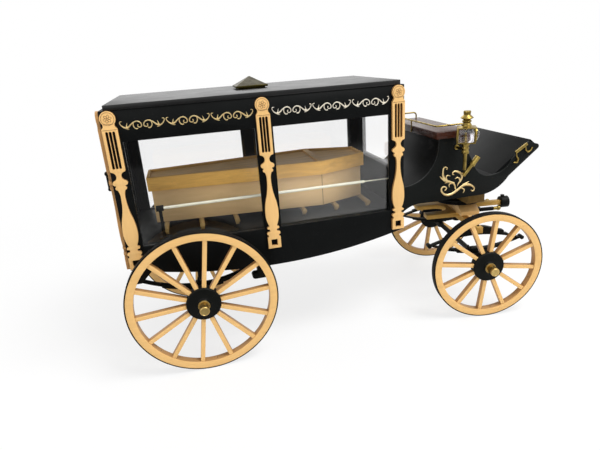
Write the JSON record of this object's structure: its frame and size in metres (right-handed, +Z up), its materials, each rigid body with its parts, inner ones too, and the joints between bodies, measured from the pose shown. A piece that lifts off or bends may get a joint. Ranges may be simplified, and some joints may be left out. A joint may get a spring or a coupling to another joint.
{
  "type": "scale model horse-drawn hearse",
  "caption": "Small wood and brass scale model of a horse-drawn hearse with a glazed body over a coffin, a driver's box, a turning front carriage and spoked wheels.",
  "frame": {"origin": "on the ground, under the middle of the whole model's bounding box", "axes": "+X forward, from the rear door to the driver's box; +Y to the vehicle's left; +Z up"},
  "size_m": [0.317, 0.1438, 0.1877],
  "materials": {
    "black_panel": "gloss black lacquer over thin board",
    "dark_panel": "satin dark grey paint over thin board",
    "maple": "clear satin varnish",
    "coffin_wood": "thin oil, open grain",
    "mahogany": "dark semi-gloss stain",
    "aged_brass": "aged, rubbed bright on edges",
    "black_iron": "semi-gloss black enamel",
    "tyre_band": "thin dark band with a dull surface",
    "clear_glass": "clear and smooth"
  },
  "bodies": {
    "carriage_body": {"side_wall_right": "black_panel", "side_wall_left": "black_panel", "front_wall": "black_panel", "rear_frame": "black_panel", "deck": "dark_panel", "underside_board": "black_panel", "roof_panel": "black_panel", "roof_finial": "aged_brass", "window_glass": "clear_glass", "side_pilasters": "maple", "rear_pilasters": "maple", "coffin_box": "coffin_wood", "coffin_lid": "coffin_wood", "bier_rollers": "maple", "rail_posts": "black_iron", "coffin_rails": "aged_brass", "driver_side_right": "dark_panel", "driver_side_left": "dark_panel", "toe_board": "black_panel", "seat_board": "mahogany", "seat_box": "black_panel", "seat_rail": "aged_brass", "lamp_frames": "aged_brass", "lamp_glass": "clear_glass", "whip_socket": "aged_brass", "grab_rails": "aged_brass", "upper_turntable": "black_iron", "transom_bolster": "maple", "king_pin": "black_iron", "rear_axle": "black_iron", "rear_springs": "black_iron", "rear_hangers": "black_iron"},
    "door": {"rear_door": "black_panel", "rear_door_glass": "clear_glass", "door_handle": "black_iron"},
    "front_carriage": {"lower_turntable": "black_iron", "front_bolster": "maple", "futchell_frame": "maple", "spring_bar": "maple", "front_springs": "black_iron", "front_axle": "black_iron", "pole_stub": "maple", "draw_irons": "black_iron", "draw_eyes": "aged_brass"},
    "rear_right_wheel_set": {"rear_right_wheel": "maple", "rear_right_tyre": "tyre_band", "rear_right_hub": "black_iron", "rear_right_nut": "aged_brass"},
    "rear_left_wheel_set": {"rear_left_wheel": "maple", "rear_left_tyre": "tyre_band", "rear_left_hub": "black_iron", "rear_left_nut": "aged_brass"},
    "front_right_wheel_set": {"front_right_wheel": "maple", "front_right_tyre": "tyre_band", "front_right_hub": "black_iron", "front_right_nut": "aged_brass"},
    "front_left_wheel_set": {"front_left_wheel": "maple", "front_left_tyre": "tyre_band", "front_left_hub": "black_iron", "front_left_nut": "aged_brass"}
  },
  "joints": [
    {"name": "steering", "type": "hinge", "parent": "carriage_body", "child": "front_carriage", "pos_m": [0.10867, 0, 0.076], "axis": [0, 0, 1], "range_deg": [-37, 53]},
    {"name": "rear_door_hinge", "type": "hinge", "parent": "carriage_body", "child": "door", "pos_m": [-0.15243, 0.0344, 0.1245], "axis": [0, 0, -1], "range_deg": [0, 110]},
    {"name": "rear_right_spin", "type": "hinge", "parent": "carriage_body", "child": "rear_right_wheel_set", "pos_m": [-0.10853, -0.055, 0.05], "axis": [0, 1, 0], "continuous": true},
    {"name": "rear_left_spin", "type": "hinge", "parent": "carriage_body", "child": "rear_left_wheel_set", "pos_m": [-0.10853, 0.055, 0.05], "axis": [0, 1, 0], "continuous": true},
    {"name": "front_right_spin", "type": "hinge", "parent": "front_carriage", "child": "front_right_wheel_set", "pos_m": [0.10048, -0.05828, 0.0417], "axis": [0.1392, 0.9903, 0], "continuous": true},
    {"name": "front_left_spin", "type": "hinge", "parent": "front_carriage", "child": "front_left_wheel_set", "pos_m": [0.11686, 0.05828, 0.0417], "axis": [0.1392, 0.9903, 0], "continuous": true}
  ]
}
